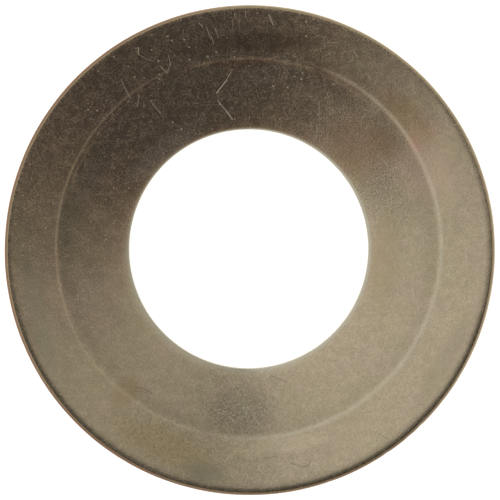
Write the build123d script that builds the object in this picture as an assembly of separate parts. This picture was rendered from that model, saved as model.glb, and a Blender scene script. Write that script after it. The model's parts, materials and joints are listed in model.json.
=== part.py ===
from build123d import *
from math import atan, cos, degrees, tan
import os

# A disc spring: a ring of flat spring steel pressed into a shallow cone.
# It lies hollow side up on the foot of its bore, with +Z up and the origin on the axis,
# in the plane that it rests on. All sizes are in millimetres.

# The ring
outer_diameter = 25.0
bore_diameter = 12.2
sheet_thickness = 0.9
free_height = 1.6

# Edges, rounded by tumbling after the ring was blanked
rim_top_rounding = 0.24
rim_foot_rounding = 0.18
bore_top_rounding = 0.2
bore_foot_rounding = 0.2

# Seat that the forming punch pressed into the hollow side, a little off centre
crease_from_rim = 2.7
crease_shift_x = -0.08
crease_shift_y = 0.16
seat_depth_at_crease = 0.035
seat_depth_at_bore = 0.022
crease_flank_width = 0.28

rim_radius = outer_diameter / 2
bore_radius = bore_diameter / 2
crease_radius = rim_radius - crease_from_rim


def cone_angle():
    """Slope of the sheet, in radians, that makes the disc stand free_height tall.

    The disc touches below at the lowest point of the bore's foot rounding and above at the
    highest point of the rim's top rounding. The rise between those two circles is what the
    free height leaves after the sheet itself, corrected for how far each rounding cuts in.
    """
    roundings = rim_top_rounding + bore_foot_rounding
    run = rim_radius - bore_radius - roundings
    angle = 0.0
    for _ in range(20):
        stretch = 1 / cos(angle)
        rise = free_height - sheet_thickness * stretch + roundings * (stretch - 1)
        angle = atan(rise / run)
    return angle


slope = cone_angle()
sheet_height = sheet_thickness / cos(slope)

# Where the underside cone meets the bore wall, which puts the foot rounding's lowest point at zero
foot_height = -bore_foot_rounding * (tan(slope) + 1 / cos(slope) - 1)


def lower_face(radius):
    """Height of the underside cone at a radius."""
    return foot_height + (radius - bore_radius) * tan(slope)


def upper_face(radius):
    """Height of the hollow-side cone at a radius, before the punch has pressed its seat."""
    return lower_face(radius) + sheet_height


def coned_ring():
    """The coned sheet, with straight walls at bore and rim and three of its corners rounded."""
    foot_in = (bore_radius, lower_face(bore_radius))
    foot_out = (rim_radius, lower_face(rim_radius))
    top_out = (rim_radius, upper_face(rim_radius))
    top_in = (bore_radius, upper_face(bore_radius))
    corners = {
        foot_in: bore_foot_rounding,
        foot_out: rim_foot_rounding,
        top_out: rim_top_rounding,
    }
    with BuildPart() as ring:
        with BuildSketch(Plane.XZ) as section:
            with BuildLine():
                Polyline(foot_in, foot_out, top_out, top_in, close=True)
            make_face()
            for corner, rounding in corners.items():
                fillet(section.vertices().sort_by_distance(Vector(*corner))[0], rounding)
        revolve(axis=Axis.Z)
    return ring.part


def punch_nose():
    """The nose of the punch, with a blunt cone for its face and a sloping flank round it.

    The face bites deeper at the crease than at the bore, so the metal inside the crease lies a
    little flatter than the metal outside it. The flank climbs back to the sheet's own surface
    over crease_flank_width, and then as far again to come clear of it. Its section is drawn a
    quarter turn from the ring's, so that the seams of the two leave no sliver between them.
    """
    face_out = crease_radius - crease_flank_width
    face_in = bore_radius / 2
    deepening = (seat_depth_at_crease - seat_depth_at_bore) / (face_out - bore_radius)
    depth_in = seat_depth_at_bore - deepening * (bore_radius - face_in)
    seat_out = upper_face(face_out) - seat_depth_at_crease
    clear_radius = crease_radius + crease_flank_width
    clear_height = seat_out + 2 * (upper_face(crease_radius) - seat_out)
    above = clear_height + sheet_height
    with BuildPart() as nose:
        with BuildSketch(Plane.YZ):
            with BuildLine():
                Polyline(
                    (face_in, upper_face(face_in) - depth_in),
                    (face_out, seat_out),
                    (clear_radius, clear_height),
                    (clear_radius, above),
                    (face_in, above),
                    close=True,
                )
            make_face()
        revolve(axis=Axis.Z)
    return nose.part


def punch_place():
    """The punch's place off centre, tipped so that its edge bites evenly into the cone all round."""
    pivot = upper_face(crease_radius)
    tip_about_x = degrees(atan(tan(slope) * crease_shift_y / crease_radius))
    tip_about_y = -degrees(atan(tan(slope) * crease_shift_x / crease_radius))
    return Pos(crease_shift_x, crease_shift_y, pivot) * Rot(tip_about_x, tip_about_y, 0) * Pos(0, 0, -pivot)


def bore_mouth(part):
    """The edges where the pressed seat runs out into the bore."""
    walls = part.faces().filter_by(GeomType.CYLINDER)
    bore_wall = walls.sort_by(lambda face: face.bounding_box().size.X)[0]
    middle = bore_wall.center(CenterOf.BOUNDING_BOX).Z
    rings = bore_wall.edges().filter_by(GeomType.LINE, reverse=True)
    return rings.filter_by(lambda edge: edge.center(CenterOf.MASS).Z > middle)


def disc_spring():
    """The finished washer: the coned ring, then the punch's seat, then the bore's top edge."""
    pressed = coned_ring() - punch_place() * punch_nose()
    return fillet(bore_mouth(pressed), bore_top_rounding)


washer = disc_spring()
washer.label = "disc_spring"

os.makedirs("parts", exist_ok=True)
export_step(washer, "parts/disc_spring.step")

print("slope of the sheet", round(degrees(slope), 3), "degrees")
print("height", round(washer.bounding_box().size.Z, 4), "volume", round(washer.volume, 3))
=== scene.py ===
# %% [markdown]
# # A disc spring, seen from above
#
# A disc spring is a ring of flat spring steel pressed into a shallow cone. This one lies hollow
# side up on white. The solid model gives its exact size. Here it gets the surface that a close
# photograph shows: soft tumbled edges, the mark of the punch, fine scratches and tarnish.

# %% Load the solid model as the frame
import json
import math

import bpy
import numpy as np
from mathutils import Matrix, Vector


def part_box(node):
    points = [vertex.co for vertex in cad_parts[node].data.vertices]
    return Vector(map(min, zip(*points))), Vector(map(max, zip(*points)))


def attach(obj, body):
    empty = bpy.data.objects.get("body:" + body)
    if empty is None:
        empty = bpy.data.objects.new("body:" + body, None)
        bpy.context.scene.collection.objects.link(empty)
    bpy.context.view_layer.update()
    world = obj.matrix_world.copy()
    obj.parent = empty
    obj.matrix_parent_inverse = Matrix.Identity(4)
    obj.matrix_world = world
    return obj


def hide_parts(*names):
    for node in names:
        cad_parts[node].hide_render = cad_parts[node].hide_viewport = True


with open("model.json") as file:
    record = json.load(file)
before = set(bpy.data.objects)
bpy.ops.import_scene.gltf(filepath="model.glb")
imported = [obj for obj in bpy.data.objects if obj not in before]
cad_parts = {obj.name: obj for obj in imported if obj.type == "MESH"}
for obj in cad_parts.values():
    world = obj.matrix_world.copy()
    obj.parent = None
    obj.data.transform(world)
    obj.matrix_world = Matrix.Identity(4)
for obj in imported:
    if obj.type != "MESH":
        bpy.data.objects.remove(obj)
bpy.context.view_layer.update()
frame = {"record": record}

# %% [markdown]
# ## Sizes
#
# The rim, the bore and the height are read from the frame. The sheet and the two roundings below
# are those of the drawing. Everything works in millimetres and turns into metres only when a
# mesh is written, because a washer is easier to think of in millimetres.

# %% Sizes in millimetres
MM = 0.001
low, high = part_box("disc_spring")
mounts = {mount["name"]: mount for mount in frame["record"]["mounts"]}
rim_radius = (high.x - low.x) / 2 / MM
bore_radius = mounts["bore"]["dims"]["r_mm"]
free_height = (high.z - low.z) / MM
sheet = 0.9
drawn_rim_rounding = 0.24
bore_foot_rounding = 0.2
print("rim", round(rim_radius, 3), "bore", bore_radius, "height", round(free_height, 3))

# %% [markdown]
# ## The cone
#
# The disc stands on the lowest point of the bore's rounded foot and reaches its full height at
# the crown of the rim's rounding. The slope follows from those two circles. It appears on both
# sides of its own equation, through the sheet's thickness, so a few repeats settle it.

# %% Slope of the cone
slope = 0.0
roundings = drawn_rim_rounding + bore_foot_rounding
for _ in range(20):
    stretch = 1 / math.cos(slope)
    rise = free_height - sheet * stretch + roundings * (stretch - 1)
    slope = math.atan(rise / (rim_radius - bore_radius - roundings))
foot_height = -bore_foot_rounding * (math.tan(slope) + 1 / math.cos(slope) - 1)


def underside(radius):
    """Height of the underside cone at a radius."""
    return foot_height + (radius - bore_radius) * math.tan(slope)


def topside(radius):
    """Height of the hollow-side cone: the underside plus the sheet, measured upright."""
    return underside(radius) + sheet / math.cos(slope)


print("slope of the cone in degrees", round(math.degrees(slope), 3))

# %% [markdown]
# ## The section
#
# Cut the ring once and you see a leaning oblong with four rounded corners. It could be drawn as
# a curve and spun, but a closed row of points in numpy leaves full control of where the points
# lie. They crowd where the surface turns, at the corners and at the punch's crease, and thin
# out where it is plain.

# %% The section as a closed row of points
rim_top_rounding = 0.15
rim_foot_rounding = 0.18
bore_top_rounding = 0.1


def corner(radius_at, height_at, rounding, start, end, count):
    """An arc: centre plus rounding times (cos a, sin a), a running from start to end in degrees."""
    a = np.radians(np.linspace(start, end, count))
    return np.column_stack([radius_at + rounding * np.cos(a), height_at + rounding * np.sin(a)])


def section(face_radii):
    """The whole outline, from the bore's top corner outward over the hollow side and back below.

    Each rounding's centre lies one rounding from its wall and, measured square to the sheet, one
    rounding inside its face. An arc ends where its own radius is square to the face.
    """
    lean = math.degrees(slope)
    up = 1 / math.cos(slope)
    crown = rim_radius - rim_top_rounding
    heel = rim_radius - rim_foot_rounding
    mouth = bore_radius + bore_top_rounding
    foot = bore_radius + bore_foot_rounding
    bore_top = corner(mouth, topside(mouth) - up * bore_top_rounding, bore_top_rounding, 180, 90 + lean, 9)
    face = np.column_stack([face_radii, topside(face_radii)])
    rim_top = corner(crown, topside(crown) - up * rim_top_rounding, rim_top_rounding, 90 + lean, 0, 13)
    rim_foot = corner(heel, underside(heel) + up * rim_foot_rounding, rim_foot_rounding, 0, -90 + lean, 8)
    under_radii = np.linspace(rim_foot[-1, 0], foot, 16)[1:-1]
    under = np.column_stack([under_radii, underside(under_radii)])
    foot_middle = underside(foot) + up * bore_foot_rounding
    bore_foot = corner(foot, foot_middle, bore_foot_rounding, -90 + lean, -180, 8)
    return np.vstack([bore_top, face, rim_top, rim_foot, under, bore_foot])


# %% [markdown]
# ## The punch's crease
#
# The punch pressed the hollow side a little flatter within a circle that lies a fifth of a
# millimetre off centre, and its edge left a crease there: a shallow groove with a long inner side
# and a short steep outer one. The steep side is widest toward +X. At the lower left the crease
# swerves outward a tenth of a millimetre and grows faint. Along the top it breaks off, and a
# second, fainter one runs on a quarter of a millimetre further in, as if the punch had struck
# twice. All of this is a depth that depends only on the place.

# %% The punch's mark
punch_centre = (-0.05, 0.216)
crease_radius = 9.9
bend_depth = 0.02
flank_width = 0.22
flank_unevenness = 0.3
dip_reach = 0.9
ragged_edge = ((0.007, 9, 40.0), (0.005, 31, 0.0))
first_strike = {"inward": 0.0, "depth": 0.007, "bearing": 271.0, "half_width": 157.5}
second_strike = {"inward": 0.25, "depth": 0.006, "bearing": 104.0, "half_width": 56.0}
fade_width = 4.0
swerve_bearing = 209.0
swerve_width = 17.0
swerve_out = 0.09
swerve_fade = 0.55


def smooth(x):
    """0 below 0, 1 above 1, and 3x^2 - 2x^3 between."""
    x = np.clip(x, 0, 1)
    return x * x * (3 - 2 * x)


def ripple(bearing, terms):
    """Sum of height times sin(count times bearing + phase), with a term's three numbers so named."""
    return sum(height * np.sin(np.radians(count * bearing + phase)) for height, count, phase in terms)


def bell(bearing, middle, width):
    """1 at the middle bearing, falling as exp(-(degrees away / width)^2)."""
    off = (bearing - middle + 180) % 360 - 180
    return np.exp(-((off / width) ** 2))


def groove(away, depth, flank):
    """Depth of a groove: growing over dip_reach, then climbing back to nothing over the flank."""
    inner = smooth((away + flank + dip_reach) / dip_reach)
    return depth * inner * (1 - smooth((away + flank) / flank))


def punched(x, y):
    """How deep the punch pressed at a place: the bend and the grooves of its two strikes.

    The bend deepens in a straight line from the bore to the crease and comes back to nothing at
    the rim. A strike's groove is there where the bearing is within half_width of its middle.
    Away is the distance outward from the crease, whose circle is ragged and swerves out once.
    """
    bearing = np.degrees(np.arctan2(y, x))
    swerved = bell(bearing, swerve_bearing, swerve_width)
    circle = crease_radius + ripple(bearing, ragged_edge) + swerve_out * swerved
    away = np.hypot(x - punch_centre[0], y - punch_centre[1]) - circle
    flank = flank_width * (1 + flank_unevenness * x / np.hypot(x, y))
    inner_share = 1 + (away + flank_width / 2) / (crease_radius - bore_radius)
    outer_share = 1 - (away + flank_width / 2) / (rim_radius - crease_radius)
    depth = bend_depth * np.clip(np.minimum(inner_share, outer_share), 0, 1)
    for strike in (first_strike, second_strike):
        turned = np.abs((bearing - strike["bearing"] + 180) % 360 - 180)
        present = smooth((strike["half_width"] - turned) / fade_width + 0.5)
        present = present * (1 - swerve_fade * swerved)
        depth = depth + present * groove(away + strike["inward"], strike["depth"], flank)
    return depth


# %% [markdown]
# ## Rolled edges, wear and slow waves
#
# Blanking drags the sheet's skin down a little at both edges, and tumbling rounds what is left.
# So the face starts to fall well before the corner. The rim also has small nicks, and no pressed
# sheet is quite even: it carries waves of a thousandth of a millimetre or two, which show only
# in how they bend reflections. A roll is a parabola, because that leaves the face without a kink.

# %% Edges, wear and waves
rim_roll_reach = 0.45
rim_roll_depth = 0.034
bore_roll_reach = 0.4
bore_roll_depth = 0.014
bore_sag_reach = 1.5
bore_sag_depth = 0.026
lean_of_cut = 0.5
cut_bearing = -72.0
tumbled_off = 0.012
rim_wear = 0.004
rim_unevenness = ((0.002, 7, 20.0), (0.002, 23, 0.0))
nick_width = 0.8
nicks = (
    (-46.0, 0.018), (-49.5, 0.012), (-56.0, 0.014), (-38.0, 0.01),
    (-71.0, 0.01), (12.0, 0.008), (203.0, 0.01),
)
still_border = 0.8
wave_height = 0.00045
wave_count = 24
draw = np.random.default_rng(3)
wave_turn = draw.uniform(0, 2 * np.pi, wave_count)
wave_length = draw.uniform(1.2, 6.0, wave_count)
wave_phase = draw.uniform(0, 2 * np.pi, wave_count)


def rolled(radius, bearing):
    """How far the face has dropped: depth times (share of the reach) squared, at each edge.

    The blank was cut a little askew, so both rolls are largest at cut_bearing. A third, wider
    sag toward the bore is the same all round.
    """
    askew = 1 + lean_of_cut * np.cos(np.radians(bearing - cut_bearing))
    at_rim = np.clip((radius - rim_radius) / (rim_roll_reach * askew) + 1, 0, 1)
    at_bore = np.clip((bore_radius - radius) / bore_roll_reach + 1, 0, 1)
    near_bore = np.clip((bore_radius - radius) / bore_sag_reach + 1, 0, 1)
    rolls = rim_roll_depth * at_rim**2 + bore_roll_depth * at_bore**2
    return askew * rolls + bore_sag_depth * near_bore**2


def worn(bearing):
    """Metal lost from the rim at each bearing, in mm: slow unevenness plus bell-shaped nicks."""
    lost = rim_wear + ripple(bearing, rim_unevenness)
    for place, depth in nicks:
        lost = lost + depth * bell(bearing, place, nick_width)
    return lost


def waves(x, y):
    """Sum of plane waves, wave_height times cos(2 pi distance / length + phase), still at the rim."""
    total = np.zeros_like(x)
    for turn, length, phase in zip(wave_turn, wave_length, wave_phase):
        total += np.cos(2 * np.pi * (x * np.cos(turn) + y * np.sin(turn)) / length + phase)
    return wave_height * total * smooth((rim_radius - np.hypot(x, y)) / still_border)


# %% [markdown]
# ## The washer's surface
#
# The section is carried round the axis on an even grid of bearings. That gives a closed tube
# with no seam, since the last row joins the first both ways. The marks then move the points:
# the punch, the rolled edges and the waves lower the hollow side, and wear draws the rim inward.
# The bore was punched about 0.06 mm off the rim's centre, so the points near it shift by that
# much, and the shift fades out toward the crease.

# %% The grid of points
bore_centre = (-0.04, 0.05)
bore_shift_reach = 8.5
creased_from, creased_to = 8.9, 10.2
worn_border = 0.5
upper_part = 0.3


def washer_points(turns):
    """Points of the surface in mm, shaped (turns, section points, 3).

    A point lies at radius times (cos bearing, sin bearing), moved with the bore's shift. All the
    marks together lower it. They come in over upper_part of the sheet, going up from its middle,
    so the underside stays as it is.
    """
    bore_side = np.linspace(bore_radius + bore_top_rounding, creased_from, 30)[1:]
    creased = np.linspace(creased_from, creased_to, 42)[1:]
    rim_side = np.linspace(creased_to, rim_radius - rim_top_rounding, 34)[1:-1]
    outline = section(np.concatenate([bore_side, creased, rim_side]))
    bearing = np.linspace(0, 360, turns, endpoint=False)[:, None]
    radius, height = outline[:, 0][None, :], outline[:, 1][None, :]
    middle = (underside(radius) + topside(radius)) / 2
    upper = smooth((height - middle) / (upper_part * sheet))
    near_rim = smooth((radius - rim_radius + worn_border) / worn_border)
    drawn_in = radius - near_rim * worn(bearing)
    near_bore = smooth((bore_shift_reach - radius) / (bore_shift_reach - bore_radius))
    x = drawn_in * np.cos(np.radians(bearing)) + near_bore * bore_centre[0]
    y = drawn_in * np.sin(np.radians(bearing)) + near_bore * bore_centre[1]
    lowered = tumbled_off + punched(x, y) + rolled(radius, bearing) + waves(x, y)
    z = height - upper * lowered
    return np.stack([x, y, z], axis=-1)


steps_round = 600
points = washer_points(steps_round)
print("grid of", points.shape[0], "bearings by", points.shape[1], "points")

# %% [markdown]
# ## From grid to mesh
#
# Every cell of the grid is one four-sided face, made by pairing each index with its neighbours
# and wrapping at both ends. The volume that the faces enclose is a quick test: it is positive
# when they all point outward, and it should agree with the solid model's.


# %% The mesh
def closed_grid_mesh(name, grid):
    """A mesh from a grid that closes both ways, facing outward, in metres.

    With a face's corners a, b, c and d, the volume is a sixth of the sum of a.(b x c + c x d).
    """
    rows, columns = grid.shape[:2]
    index = np.arange(rows * columns).reshape(rows, columns)
    beside = np.roll(index, -1, axis=0)
    faces = np.stack(
        [index, beside, np.roll(beside, -1, axis=1), np.roll(index, -1, axis=1)], axis=-1
    ).reshape(-1, 4)
    flat = grid.reshape(-1, 3)
    a, b, c, d = (flat[faces[:, k]] for k in range(4))
    volume = np.einsum("ij,ij->i", a, np.cross(b, c) + np.cross(c, d)).sum() / 6
    if volume < 0:
        faces = faces[:, ::-1]
    print(name, len(faces) * 2, "triangles, volume in mm3", round(abs(volume), 2))
    mesh = bpy.data.meshes.new(name)
    mesh.from_pydata((flat * MM).tolist(), [], faces.tolist())
    mesh.shade_smooth()
    made = bpy.data.objects.new(name, mesh)
    bpy.context.scene.collection.objects.link(made)
    return made


washer = closed_grid_mesh("tumbled_disc_spring", points)

# %% [markdown]
# ## Colours and nodes
#
# Colours are written as they would be picked off a screen, and one function turns them into the
# linear values that light works in. A second small function adds any node with its settings and
# links, which keeps the materials below short enough to read as recipes.


# %% Two helpers
def linear(hex_colour):
    """Screen colour to linear light: v / 12.92 when dark, else ((v + 0.055) / 1.055) ^ 2.4."""
    v = np.array([int(hex_colour[i : i + 2], 16) for i in (1, 3, 5)]) / 255
    light = np.where(v <= 0.04045, v / 12.92, ((v + 0.055) / 1.055) ** 2.4)
    return (*light.tolist(), 1.0)


def add(tree, kind, inputs=None, **settings):
    """Adds a node, sets its properties, and fills each input with a value or a link."""
    made = tree.nodes.new("ShaderNode" + kind)
    for name, value in settings.items():
        setattr(made, name, value)
    for socket, value in (inputs or {}).items():
        if isinstance(value, bpy.types.NodeSocket):
            tree.links.new(value, made.inputs[socket])
        else:
            made.inputs[socket].default_value = value
    return made


# %% [markdown]
# Two sums come up so often in the recipes that they get short names too: one number made from
# two, and a number taken from one range onto another with soft ends.


# %% Sums with nodes
def sum_of(tree, operation, a, b=0.0):
    """One number from two, by the named operation."""
    return add(tree, "Math", {0: a, 1: b}, operation=operation).outputs[0]


def graded(tree, value, start, end, low=0.0, high=1.0):
    """Value taken from the range start to end onto low to high, easing at both ends."""
    settings = {"Value": value, "From Min": start, "From Max": end, "To Min": low, "To Max": high}
    return add(tree, "MapRange", settings, interpolation_type="SMOOTHSTEP").outputs[0]


# %% [markdown]
# ## Spring steel, tumbled
#
# Carbon spring steel comes off the press bright and is tumbled in a drum of stones to take off
# its burrs. That leaves a glossy metal with a fine grain and countless hair scratches in every
# direction, and a film of oil and tarnish gives it a warm tan. The face mirrors the studio
# softly. Where the mirrored studio is pale, the scratches hardly show, and where it is dark,
# they glint.

# %% A material to fill in, with its coordinates in millimetres
steel = bpy.data.materials.new("spring_steel_tumbled")
steel.use_nodes = True
tree = steel.node_tree
tree.nodes.clear()
where = add(tree, "TexCoord").outputs["Object"]
place = add(tree, "VectorMath", {0: where, "Scale": 1 / MM}, operation="SCALE").outputs[0]
parts = add(tree, "SeparateXYZ", {0: place}).outputs
flat_place = add(tree, "CombineXYZ", {0: parts[0], 1: parts[1]}).outputs[0]
radius_here = add(tree, "VectorMath", {0: flat_place}, operation="LENGTH").outputs["Value"]

# %% [markdown]
# ### Hair scratches
#
# A Voronoi texture divides the surface into cells, each with a point of its own and a few
# random numbers. One straight scratch is drawn through each point. The first random number
# turns it, and the second says how deep it is, so that most are faint. Several such layers with
# cells of different sizes give the net of scratches. Real ones are a few thousandths of a
# millimetre wide. These are drawn 0.02 to 0.03 mm wide, since a pixel covers 0.05 mm.


# %% Scratch layers
def scratches(cell, width, shift):
    """Strength, 0 to 1, of a straight scratch in each cell of so many mm, gone width mm beside it."""
    moved = add(tree, "VectorMath", {0: flat_place, 1: (shift, 2 * shift, 0)}, operation="ADD").outputs[0]
    cells = add(tree, "TexVoronoi", {"Vector": moved, "Scale": 1 / cell}, voronoi_dimensions="2D")
    luck = add(tree, "SeparateXYZ", {0: cells.outputs["Color"]}).outputs
    ends = {0: moved, 1: cells.outputs["Position"]}
    offset = add(tree, "VectorMath", ends, operation="SUBTRACT").outputs[0]
    turn = {"Vector": offset, "Angle": sum_of(tree, "MULTIPLY", luck[0], math.pi)}
    turned = add(tree, "VectorRotate", turn, rotation_type="Z_AXIS").outputs[0]
    line = add(tree, "SeparateXYZ", {0: turned}).outputs
    across = graded(tree, sum_of(tree, "ABSOLUTE", line[1]), width, 0.3 * width)
    along = graded(tree, sum_of(tree, "ABSOLUTE", line[0]), 0.5 * cell, 0.25 * cell)
    strength = sum_of(tree, "POWER", luck[1], 3.0)
    return sum_of(tree, "MULTIPLY", sum_of(tree, "MULTIPLY", across, along), strength)


def strongest(marks):
    """The largest of several marks at each place."""
    largest = marks[0]
    for mark in marks[1:]:
        largest = sum_of(tree, "MAXIMUM", largest, mark)
    return largest


scratch_layers = (
    (0.32, 0.016, 3.1),
    (0.45, 0.016, 7.7),
    (0.6, 0.016, 13.3),
    (0.9, 0.018, 19.9),
    (1.5, 0.02, 31.7),
)
hairs = strongest([scratches(*layer) for layer in scratch_layers])
print(len(scratch_layers), "layers of scratches, cells of", [layer[0] for layer in scratch_layers], "mm")

# %% [markdown]
# ### Single scratches
#
# A few scratches stand out by themselves. Each is a straight line between two places on the
# hollow side, in millimetres from the axis, and its mark falls off with the distance to that
# line. The nearest point of the line is found by sliding a share of the way along it. Bent
# scratches are made of several lines end to end.


# %% Single scratches
def line_mark(start, end, width, strength):
    """Strength on the line from start to end and 0 beyond width from it.

    The nearest point lies at the share t of the way, t = (p - start).(end - start) / length^2,
    kept between 0 and 1.
    """
    along = Vector((*end, 0)) - Vector((*start, 0))
    offset = add(tree, "VectorMath", {0: flat_place, 1: (*start, 0)}, operation="SUBTRACT").outputs[0]
    dot = add(tree, "VectorMath", {0: offset, 1: along / along.length_squared}, operation="DOT_PRODUCT")
    part_way = add(tree, "Clamp", {"Value": dot.outputs["Value"]}).outputs[0]
    nearest = add(tree, "VectorMath", {0: along, "Scale": part_way}, operation="SCALE").outputs[0]
    gap = add(tree, "VectorMath", {0: offset, 1: nearest}, operation="DISTANCE").outputs["Value"]
    return graded(tree, gap, width, 0.3 * width, 0.0, strength)


# %% [markdown]
# ### Their places
#
# A row gives where a scratch starts and ends, how far beside it the mark is gone, and its
# strength. Bright lines go through the film to bare metal. Dark ones are curled hairs of dirt.
# Specks are single dents, drawn as lines too short to see as such.

# %% Places of scratches and specks
bright_lines = (
    ((-1.7, 8.01), (-1.24, 8.62), 0.028, 0.9),
    ((-1.24, 8.62), (-0.98, 9.08), 0.03, 0.5),
    ((-1.65, 7.65), (-1.19, 7.09), 0.03, 0.6),
    ((-1.19, 7.09), (-0.88, 6.66), 0.028, 0.9),
    ((-2.21, 11.38), (-2.0, 10.77), 0.024, 0.5),
    ((-1.95, 10.87), (-1.85, 10.51), 0.03, 0.5),
    ((-1.8, 11.33), (-1.59, 10.82), 0.026, 0.4),
    ((-0.93, 11.94), (-0.85, 10.87), 0.022, 0.3),
    ((-0.57, 12.2), (-0.55, 11.18), 0.022, 0.3),
    ((-0.78, 12.15), (-0.78, 11.79), 0.024, 0.4),
    ((-0.24, 12.2), (-0.22, 11.84), 0.024, 0.4),
    ((0.96, 12.0), (1.17, 11.48), 0.03, 0.6),
    ((-5.68, 10.36), (-5.68, 10.0), 0.028, 0.7),
    ((-5.68, 10.0), (-5.27, 9.75), 0.024, 0.4),
    ((-5.27, 9.75), (-4.92, 9.65), 0.024, 0.4),
    ((-4.15, 9.95), (-4.05, 9.49), 0.025, 0.5),
    ((-4.05, 9.49), (-4.2, 9.08), 0.025, 0.5),
    ((-4.56, 9.39), (-4.25, 9.08), 0.024, 0.6),
    ((-6.55, 8.67), (-6.09, 7.75), 0.025, 0.5),
    ((-5.63, 7.91), (-5.73, 7.35), 0.024, 0.5),
    ((-4.97, 7.5), (-4.56, 6.99), 0.025, 0.5),
    ((-2.62, 11.59), (-2.41, 11.38), 0.03, 0.5),
    ((3.52, 7.6), (3.52, 6.63), 0.022, 0.35),
    ((3.46, 6.37), (3.31, 5.76), 0.022, 0.3),
    ((-1.05, -6.66), (-0.27, -7.78), 0.03, 0.35),
    ((-0.27, -7.78), (0.48, -8.92), 0.04, 1.0),
    ((-0.45, -8.04), (-0.13, -8.4), 0.04, 0.6),
    ((5.87, 9.03), (6.17, 8.73), 0.03, 0.4),
    ((5.25, 10.21), (5.46, 9.85), 0.03, 0.5),
)
dark_lines = (
    ((1.11, -6.43), (1.93, -6.76), 0.03, 1.0),
    ((-6.09, -6.96), (-5.53, -7.01), 0.03, 1.0),
    ((-5.53, -7.01), (-5.02, -7.27), 0.03, 1.0),
    ((0.71, -10.64), (1.32, -10.49), 0.03, 0.6),
    ((1.32, -10.49), (1.73, -10.64), 0.03, 0.6),
    ((2.08, -10.85), (2.7, -11.05), 0.035, 0.9),
    ((2.7, -11.05), (3.0, -10.95), 0.035, 1.0),
    ((3.0, -10.95), (3.08, -10.69), 0.035, 1.0),
    ((-6.14, -7.22), (-5.58, -7.17), 0.03, 0.6),
    ((-5.58, -7.17), (-5.17, -7.32), 0.03, 0.6),
    ((6.53, -9.31), (6.99, -9.62), 0.03, 0.8),
)
speck_places = (
    (-4.2, 10.92), (-4.0, 10.69), (-3.36, 10.74), (-3.1, 10.36), (-3.08, 9.72),
    (-2.16, 9.88), (-1.72, 10.11), (-5.89, 8.85), (-5.02, 7.63), (-4.66, 9.65),
    (-7.78, 7.14), (-8.24, 7.19), (2.83, 11.66), (2.83, 10.92), (3.21, 11.79),
    (1.17, 8.37), (4.23, 8.47), (2.6, 8.73), (-3.94, 6.53), (-3.49, 6.17),
)
speck_length, speck_width, speck_strength = 0.02, 0.07, 0.8
single = strongest([line_mark(*line) for line in bright_lines])
dark_hairs = strongest([line_mark(*line) for line in dark_lines])
specks = strongest(
    [line_mark((x, y), (x + speck_length, y), speck_width, speck_strength) for x, y in speck_places]
)
print(len(bright_lines), "bright lines,", len(dark_lines), "dark ones,", len(speck_places), "specks")

# %% [markdown]
# ### Grain and dents
#
# The stones leave the whole face finely uneven. A noise with features of about a tenth of a
# millimetre makes that grain, and its higher parts are the salt: a pale sprinkle that scatters
# most light. Scattered deeper dents come from the Voronoi trick again: a point to each cell, and
# a random number that says whether it has a dent. The specks join them.

# %% Grain and dents
grain_per_mm = 11.0
dents_per_mm = 2.6
grain = add(
    tree,
    "TexNoise",
    {"Vector": flat_place, "Scale": grain_per_mm, "Detail": 3.0, "Roughness": 0.8},
    noise_dimensions="2D",
).outputs[0]
salt = graded(tree, grain, 0.3, 0.66)
dent_cells = add(tree, "TexVoronoi", {"Vector": flat_place, "Scale": dents_per_mm}, voronoi_dimensions="2D")
dent_luck = add(tree, "SeparateXYZ", {0: dent_cells.outputs["Color"]}).outputs
dents = graded(tree, dent_cells.outputs["Distance"], 0.12, 0.04)
dents = sum_of(tree, "MULTIPLY", dents, graded(tree, dent_luck[0], 0.75, 1.0))
dents = sum_of(tree, "MAXIMUM", dents, specks)
print("grain of", round(1 / grain_per_mm, 3), "mm, dents in cells of", round(1 / dents_per_mm, 3), "mm")

# %% [markdown]
# ### Drum strokes and smudges
#
# Where a stone slides along the face it leaves a bundle of short strokes side by side. A noise
# stretched to five times its width makes such bundles, and two of them cross. A coarser noise
# makes the smudges of oil, about half a millimetre wide.


# %% Drum strokes and smudges
def strokes(turn, shift):
    """1 on strokes that lie turn degrees from +X, 0.3 mm long and 0.06 mm wide."""
    settings = {"Vector": flat_place, "Location": (shift, 0, 0), "Rotation": (0, 0, math.radians(turn))}
    laid = add(tree, "Mapping", {**settings, "Scale": (0.3, 0.06, 1)}, vector_type="TEXTURE").outputs[0]
    noise = add(tree, "TexNoise", {"Vector": laid, "Scale": 1.0, "Detail": 1.0}, noise_dimensions="2D")
    return graded(tree, noise.outputs[0], 0.52, 0.7)


stroked = sum_of(tree, "MAXIMUM", strokes(-55, 2.3), strokes(40, 9.1))
smudge = add(
    tree,
    "TexNoise",
    {"Vector": flat_place, "Scale": 2.6, "Detail": 3.0, "Roughness": 0.65, "Distortion": 0.6},
    noise_dimensions="2D",
).outputs[0]

# %% [markdown]
# ### Shares, places and directions
#
# Three more short names keep the recipes below readable. They give a mask times an amount, the
# distance from some place on the hollow side, and how far a place lies toward one side.


# %% Shares, places and directions
def share(mask, amount):
    """The mask times an amount, or times another mask."""
    return sum_of(tree, "MULTIPLY", mask, amount)


def distance_from(centre):
    """Level distance from a place, in mm."""
    measured = add(tree, "VectorMath", {0: flat_place, 1: (*centre, 0)}, operation="DISTANCE")
    return measured.outputs["Value"]


def lies_toward(x, y):
    """How far a place lies from the axis in the direction (x, y), in mm."""
    measured = add(tree, "VectorMath", {0: flat_place, 1: (x, y, 0)}, operation="DOT_PRODUCT")
    return measured.outputs["Value"]


# %% [markdown]
# ### Relief
#
# All the marks become one height, and the Bump node's distance says what a height of one means
# in metres. Strokes, scratches and dents go down from the grain. A patch at the upper right is
# more deeply pitted than the rest.

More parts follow.
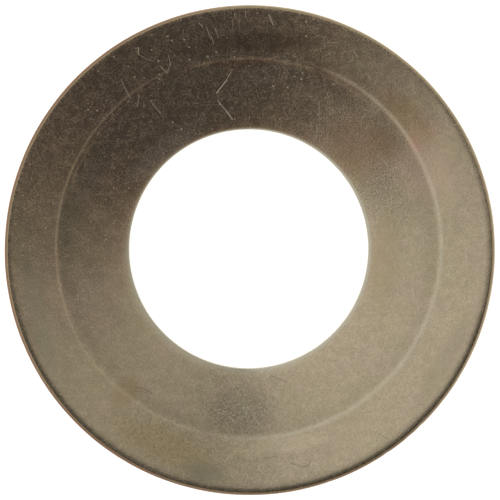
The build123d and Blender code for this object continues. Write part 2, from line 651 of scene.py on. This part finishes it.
# %% Relief
relief_height = 0.0017 * MM
pitted_centre = (6.0, 4.6)
pitted_reach = (4.5, 1.5)
pitted = graded(tree, distance_from(pitted_centre), *pitted_reach)
relief = sum_of(tree, "SUBTRACT", grain, dents)
for marks, depth in ((stroked, 0.2), (hairs, 0.2), (single, 0.8)):
    relief = sum_of(tree, "SUBTRACT", relief, share(marks, depth))
relief = share(relief, sum_of(tree, "ADD", 1.0, share(pitted, 1.2)))
bump = add(tree, "Bump", {"Strength": 1.0, "Distance": relief_height, "Height": relief}).outputs[0]

# %% [markdown]
# ### Gloss
#
# The same marks take away gloss: a scratch or a grain scatters light over a wide fan, which is
# why it looks pale where the smooth metal beside it mirrors something dark. The smooth metal
# itself has a roughness of a tenth.

# %% Gloss
smooth_metal = 0.1
dull = share(salt, graded(tree, smudge, 0.35, 0.65, 0.075, 0.14))
dull = sum_of(tree, "ADD", dull, share(stroked, 0.028))
for marks, amount in ((hairs, 0.2), (dents, 0.35), (single, 0.55)):
    dull = sum_of(tree, "MAXIMUM", dull, share(marks, amount))
roughness = sum_of(tree, "ADD", dull, smooth_metal)

# %% [markdown]
# ### Film
#
# Under the oil the steel is grey. The film on it runs from olive to tan in clouds some
# millimetres wide. It is darker in the hollows of the grain, in the drum strokes and in the
# smudges. Single scratches and dents go through it to bare, paler metal. The metal's colour is
# what a white surrounding looks like in it.

# %% Film
cloud = add(tree, "TexNoise", {"Vector": place, "Scale": 0.55, "Detail": 3.0, "Roughness": 0.55}).outputs[0]
fleck = add(tree, "TexNoise", {"Vector": place, "Scale": 1.9, "Detail": 4.0, "Roughness": 0.6}).outputs[0]


def tinted(base, hex_colour, mask, amount=1.0):
    """The base moved toward a screen colour by the mask times an amount."""
    settings = {0: share(mask, amount), 6: base, 7: linear(hex_colour)}
    return add(tree, "Mix", settings, data_type="RGBA").outputs[2]


tint = tinted(linear("#c3b496"), "#c6b39b", graded(tree, cloud, 0.35, 0.65))
tint = tinted(tint, "#8b7d66", graded(tree, grain, 0.6, 0.4), 0.38)
tint = tinted(tint, "#8a806c", stroked, 0.22)
tint = tinted(tint, "#c2bba8", salt, 0.1)
tint = tinted(tint, "#9a8c75", graded(tree, smudge, 0.6, 0.4), 0.3)
tint = tinted(tint, "#6f6453", share(pitted, graded(tree, grain, 0.55, 0.35)), 0.5)
tint = tinted(tint, "#8d8878", hairs, 0.5)
bare = sum_of(tree, "MAXIMUM", share(dents, 0.4), single)
tint = tinted(tint, "#cdcabf", bare, 0.6)
tint = tinted(tint, "#a3957c", graded(tree, fleck, 0.4, 0.75), 0.4)
tint = tinted(tint, "#5e5140", dark_hairs, 0.5)

# %% [markdown]
# ### Stains
#
# Where oil dried or a neighbour in the drum rubbed, the film changes colour in patches, from
# green-grey through olive and tan to a faint copper. Each patch is an ellipse with a soft edge
# that the flecks make ragged. Two of them end at the crease, and two show only on the drum
# strokes. One pale patch at the bottom, just outside the crease, is no stain but a painted highlight.


# %% The mask of a soft ellipse
def soft_ellipse(centre, size, turn):
    """1 inside an ellipse of half axes size about centre, in mm, with a soft ragged edge."""
    settings = {
        "Vector": flat_place,
        "Location": (*centre, 0),
        "Rotation": (0, 0, math.radians(turn)),
        "Scale": (*size, 1),
    }
    spot = add(tree, "Mapping", settings, vector_type="TEXTURE").outputs[0]
    away = add(tree, "VectorMath", {0: spot}, operation="LENGTH").outputs["Value"]
    return graded(tree, sum_of(tree, "ADD", away, share(fleck, 0.6)), 1.5, 0.7)


past_crease = sum_of(tree, "SUBTRACT", distance_from(punch_centre), crease_radius)
within_crease = graded(tree, past_crease, -0.1, -0.35)
green_patch = share(within_crease, soft_ellipse((-0.5, -8.3), (2.0, 1.5), 0))
green_patch = share(green_patch, graded(tree, grain, 0.6, 0.4, 0.3, 1.0))
green_strokes = share(green_patch, stroked)
brown_within = share(within_crease, soft_ellipse((5.4, 5.3), (1.8, 2.0), 45))
brown_strokes = share(soft_ellipse((-4.4, -9.6), (3.4, 1.4), -25), stroked)

# %% [markdown]
# ### Where the stains and the painted highlight lie
#
# The list gives a mask, a colour and an amount. The stains are laid one over another in this
# order, so a later one tints what is under it. They were placed as the photograph shows them.

# %% The stains
stains_and_painted_highlight = (
    (green_patch, "#7f7a67", 0.45),
    (brown_within, "#a88b70", 0.6),
    (soft_ellipse((7.0, 5.5), (0.7, 1.4), 38), "#8f7559", 0.5),
    (soft_ellipse((7.9, 6.8), (0.9, 2.2), 40), "#a3855f", 0.45),
    # Painted highlight, not a stain: a pale smear at the bottom, just outside the crease.
    (soft_ellipse((1.6, -9.95), (2.6, 0.5), 9), "#dccdb0", 0.22),
    (soft_ellipse((9.9, -5.7), (0.6, 3.4), -30), "#9c8f78", 0.4),
    (soft_ellipse((6.8, -0.6), (0.9, 2.8), -5), "#a39070", 0.4),
    (soft_ellipse((-4.3, 5.1), (0.7, 2.8), 130), "#d9d5c2", 0.4),
    (soft_ellipse((-0.6, 9.55), (2.2, 0.3), 3), "#a3785a", 0.3),
    (soft_ellipse((4.6, 8.6), (1.0, 2.6), 62), "#a08a70", 0.3),
    (soft_ellipse((0.9, 10.6), (2.6, 0.6), 0), "#8c7c66", 0.8),
    (soft_ellipse((-4.25, -10.0), (3.2, 1.0), -23), "#a8966e", 0.5),
    (brown_strokes, "#75664f", 0.3),
    (green_strokes, "#5f5b50", 0.5),
    (soft_ellipse((-1.6, 10.5), (2.8, 0.6), 9), "#8c8070", 0.4),
    (soft_ellipse((-7.6, 4.4), (0.5, 2.8), 150), "#8f887c", 0.4),
    (soft_ellipse((-10.9, -2.8), (0.6, 4.8), 14), "#9fa08a", 0.35),
    (soft_ellipse((-6.3, -7.2), (1.1, 0.7), -131), "#a8926e", 0.5),
    (soft_ellipse((9.0, 4.2), (1.8, 2.2), 25), "#cdb29b", 0.5),
    (soft_ellipse((8.75, 5.95), (1.1, 0.7), 34), "#c2a488", 0.4),
    (soft_ellipse((8.42, 5.35), (0.24, 0.55), 30), "#cf9c8c", 0.5),
    (soft_ellipse((-2.3, -11.35), (1.4, 0.7), -10), "#8e8873", 0.6),
    (soft_ellipse((-9.1, 1.6), (0.9, 1.8), -10), "#a0977e", 0.6),
)
for mask, colour, amount in stains_and_painted_highlight:
    tint = tinted(tint, colour, mask, amount)
print(len(stains_and_painted_highlight), "stains_and_painted_highlight")

# %% [markdown]
# ### Painted shade and shine along the crease
#
# Inside the crease a darker band is painted shade, and the crease's outer crest is rubbed bright,
# most of all at the upper right. At the lower left the shine fades. Along the top, where the first
# strike breaks off, the second strike has a tan, duller shine of its own. The numbers are
# millimetres outward from the crease.


# %% Painted shade and shine along the crease
def ring(inner, middle, outer):
    """1 on the ring middle mm past the crease, falling to 0 at inner and at outer."""
    return share(graded(tree, past_crease, inner, middle), graded(tree, past_crease, outer, middle))


below_top = graded(tree, parts[1], 9.3, 8.9)
along_top = graded(tree, parts[1], 9.2, 9.5)
# Painted shade: a darker band just inside the crease.
painted_shade_in_crease = share(ring(-0.95, -0.35, -0.15), below_top)
crest = share(ring(-0.25, -0.08, 0.12), below_top)
crest = share(crest, graded(tree, lies_toward(-0.8, -0.6), 8.5, 5.5))
restruck = share(ring(-0.46, -0.32, -0.16), along_top)
# Painted shade: the darker band inside the crease.
tint = tinted(tint, "#8c7f69", painted_shade_in_crease, 0.16)
tint = tinted(tint, "#cdc9ba", crest, 0.22)
tint = tinted(tint, "#ddd0b6", share(crest, soft_ellipse((6.4, 7.4), (1.6, 3.4), 49)), 0.28)
tint = tinted(tint, "#dccbb0", restruck, 0.3)

# %% [markdown]
# ### The rim
#
# The lip that falls away toward the rim is browner than the face. The rim's own edge is duller,
# since blanking tore it, and has tarnished to copper on the left. At the bottom the edge is a
# darker brown, and that is painted shade. Just inside it a dark line of painted shade runs round
# the lower half. Each of these is a band so many millimetres in from the rim.

# %% The rim
from_rim = sum_of(tree, "SUBTRACT", rim_radius, radius_here)
lip = graded(tree, from_rim, 0.35, 0.12)
rim_edge = share(graded(tree, from_rim, 0.2, 0.05), graded(tree, parts[2], 1.1, 1.4))
copper = share(rim_edge, graded(tree, parts[0], 3.0, -7.0))
# Painted shade: the rim's edge darker brown along the bottom.
painted_shade_on_rim_bottom = share(rim_edge, graded(tree, parts[1], -5.0, -10.0))
# Painted shade: a dark band just inside the rim, round the lower half.
painted_shade_inside_rim = share(graded(tree, from_rim, 0.42, 0.27), graded(tree, from_rim, 0.12, 0.2))
painted_shade_inside_rim = share(painted_shade_inside_rim, graded(tree, parts[1], -1.0, -5.0))
tint = tinted(tint, "#a58f6c", lip, 0.35)
tint = tinted(tint, "#896a52", copper)
# Painted shade: darker brown on the rim's edge at the bottom.
tint = tinted(tint, "#7a5f4a", painted_shade_on_rim_bottom, 0.8)
# Painted shade: a dark band just inside the rim on the lower half.
tint = tinted(tint, "#6a6553", painted_shade_inside_rim, 0.5)

# %% [markdown]
# ### The bore
#
# Beside the bore, on the left and below, the film is rubbed thin and pale. The bore's own edge
# is bare, since an edge is the first to lose its film.

# %% The bore
from_bore = sum_of(tree, "SUBTRACT", distance_from(bore_centre), bore_radius)
rubbed = share(graded(tree, from_bore, 0.6, 0.1), graded(tree, lies_toward(-0.9, -0.44), -2.0, 3.0))
bore_edge = share(graded(tree, from_bore, 0.2, 0.08), graded(tree, parts[2], 0.75, 0.85))
tint = tinted(tint, "#d3cfba", rubbed, 0.24)
tint = tinted(tint, "#b9b3a2", bore_edge)

# %% [markdown]
# ### The finished material
#
# The rim's torn edge, the lip along the top and the second strike lose some more gloss. Then one
# shader takes the tint, the roughness and the relief. As a metal it has no colour of its own
# beside its mirror image, so the tint colours everything that it mirrors.

# %% The finished material
top_lip = share(lip, graded(tree, parts[1], -1.0, 6.0))
for mask, amount in ((rim_edge, 0.06), (top_lip, 0.09), (restruck, 0.025)):
    roughness = sum_of(tree, "ADD", roughness, share(mask, amount))
finish = {"Base Color": tint, "Metallic": 1.0, "Roughness": roughness, "Normal": bump}
surface = add(tree, "BsdfPrincipled", finish).outputs[0]
add(tree, "OutputMaterial", {"Surface": surface})
washer.data.materials.append(steel)
print("nodes in the steel", len(tree.nodes))

# %% [markdown]
# ## Standing for the solid
#
# This surface takes the solid's place in the picture and rides on its body. The solid stays in
# the frame for collision.

# %% Hand the piece over to the frame
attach(washer, "root")
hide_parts("disc_spring")

# %% [markdown]
# ## The table
#
# The washer lies on a plain white table. The table takes light and shadow like any matt board,
# and a little glow that only the camera and mirror-like surfaces see lifts it to paper white.

# %% Table
table_half_side = 0.6
paper_glow = 0.75
corners = [(-1, -1), (1, -1), (1, 1), (-1, 1)]
board = bpy.data.meshes.new("table")
board.from_pydata([(table_half_side * x, table_half_side * y, 0) for x, y in corners], [], [(0, 1, 2, 3)])
table = bpy.data.objects.new("table", board)
bpy.context.scene.collection.objects.link(table)
paper = bpy.data.materials.new("white_table")
paper.use_nodes = True
board.materials.append(paper)
sheet_of_paper = paper.node_tree
sheet_of_paper.nodes.clear()
path = add(sheet_of_paper, "LightPath").outputs
seen = sum_of(sheet_of_paper, "MAXIMUM", path["Is Camera Ray"], path["Is Glossy Ray"])
seen = sum_of(sheet_of_paper, "MAXIMUM", seen, path["Is Transmission Ray"])
strength = sum_of(sheet_of_paper, "MULTIPLY", seen, paper_glow)
matt = add(sheet_of_paper, "BsdfDiffuse", {"Color": linear("#e4e4e4")}).outputs[0]
glow = add(sheet_of_paper, "Emission", {"Color": linear("#ffffff"), "Strength": strength}).outputs[0]
both = add(sheet_of_paper, "AddShader", {0: matt, 1: glow}).outputs[0]
add(sheet_of_paper, "OutputMaterial", {"Surface": both})
print("table", 2 * table_half_side, "m across")

# %% [markdown]
# ## The studio
#
# A light tent of pale cloth stands round the table. Its left half is brighter than its right,
# with a narrow gap between the two, and its front is dimmer and warmer. The camera looks in
# through a dark opening overhead, which lies a little towards the lower right. The disc's hollow
# face mirrors just that part of the tent, which is why one side of it is dark and the other
# pale. The world is that tent: its light depends only on the direction, given by how far it
# leans to +X, to +Y and up.

# %% Directions in the tent
world = bpy.data.worlds.new("light_tent")
bpy.context.scene.world = world
world.use_nodes = True
sky = world.node_tree
sky.nodes.clear()
direction = add(sky, "TexCoord").outputs["Generated"]
lean = add(sky, "SeparateXYZ", {0: direction}).outputs
level_lean = add(sky, "CombineXYZ", {0: lean[0], 1: lean[1]}).outputs[0]


def toward(bearing, from_zenith=90.0):
    """Unit vector at a bearing from +X, and so many degrees from straight up."""
    b, z = math.radians(bearing), math.radians(from_zenith)
    return (math.sin(z) * math.cos(b), math.sin(z) * math.sin(b), math.cos(z))


# %% [markdown]
# ### Cloth and opening
#
# The lean is the sine of the angle from straight up, so it runs from 0 overhead to 1 at the
# horizon. The two halves meet in the gap, which lies a little to the right of overhead. The front
# cloth hangs just round the opening, on its forward side. Low down the tent is as bright all
# round as its left half. Each pair of numbers says where a change begins and where it ends.

# %% Cloth and opening
opening_bearing = -64.5
opening_lean = 0.2
opening_inner, opening_outer = 0.1, 0.315
left_cloth, right_cloth, front_cloth = linear("#f6f7f5"), linear("#d6d5d0"), linear("#ae9b8a")
gap_colour, opening_colour = linear("#84877c"), linear("#4f4c51")
gap_left, gap_right = (0.0, 0.046), (0.064, 0.092)
front_forward, front_round = (-0.01, 0.3), (0.46, 0.26)
low_down = (0.18, 0.05)


def mixed(amount, a, b):
    """Colour a where the amount is 0, and b where it is 1."""
    return add(sky, "Mix", {0: amount, 6: a, 7: b}, data_type="RGBA").outputs[2]


cloth = mixed(graded(sky, lean[0], *gap_right), gap_colour, right_cloth)
cloth = mixed(graded(sky, lean[0], *gap_left), left_cloth, cloth)
forward = add(sky, "VectorMath", {0: direction, 1: toward(opening_bearing)}, operation="DOT_PRODUCT")
middle = Vector(toward(opening_bearing)) * opening_lean
from_opening = add(sky, "VectorMath", {0: level_lean, 1: middle}, operation="DISTANCE").outputs["Value"]
near_front = sum_of(
    sky,
    "MULTIPLY",
    graded(sky, forward.outputs["Value"], *front_forward),
    graded(sky, from_opening, *front_round),
)
cloth = mixed(near_front, cloth, front_cloth)
tent = mixed(graded(sky, from_opening, opening_inner, opening_outer), opening_colour, cloth)
tent = mixed(graded(sky, lean[2], *low_down), tent, left_cloth)
background = add(sky, "Background", {"Color": tent, "Strength": 1.0})
add(sky, "OutputWorld", {"Surface": background.outputs[0]})
print("opening", round(math.degrees(math.asin(opening_lean)), 1), "degrees from straight up")

# %% [markdown]
# ## The camera
#
# The photograph looks down on the disc from almost straight above, tipped a few degrees toward
# the upper left. The rim is 245 pixels in radius in a frame of 500, and the aim is a fraction of
# a pixel off the axis, so that the rim falls where the photograph has it. A long lens from 0.3 m
# away keeps the walls nearly hidden.

# %% Camera
frame_pixels = 500
rim_pixels = 245.15
rim_right, rim_down = -0.11, 0.36
camera_tip = 3.0
camera_bearing = 121.0
camera_distance = 0.3
silhouette_height = 1.1
camera_data = bpy.data.cameras.new("camera")
camera = bpy.data.objects.new("camera", camera_data)
bpy.context.scene.collection.objects.link(camera)
bpy.context.scene.camera = camera
pixel = rim_radius / rim_pixels
aim = Vector((-rim_right * pixel, rim_down * pixel, silhouette_height)) * MM
back = Vector(toward(camera_bearing, camera_tip))
right_hand = Vector((0, 1, 0)).cross(back).normalized()
upward = back.cross(right_hand)
camera.location = aim + back * camera_distance
camera.rotation_euler = Matrix((right_hand, upward, back)).transposed().to_euler()
camera_data.sensor_width = 36
camera_data.lens = camera_data.sensor_width * camera_distance / (frame_pixels * pixel * MM)
camera_data.clip_start = 0.01
camera_data.clip_end = 10
print("lens in mm", round(camera_data.lens, 1))

# %% [markdown]
# ## Last steps
#
# The standard view transform shows colours as they are written.

# %% Finish
bpy.context.scene.view_settings.view_transform = "Standard"
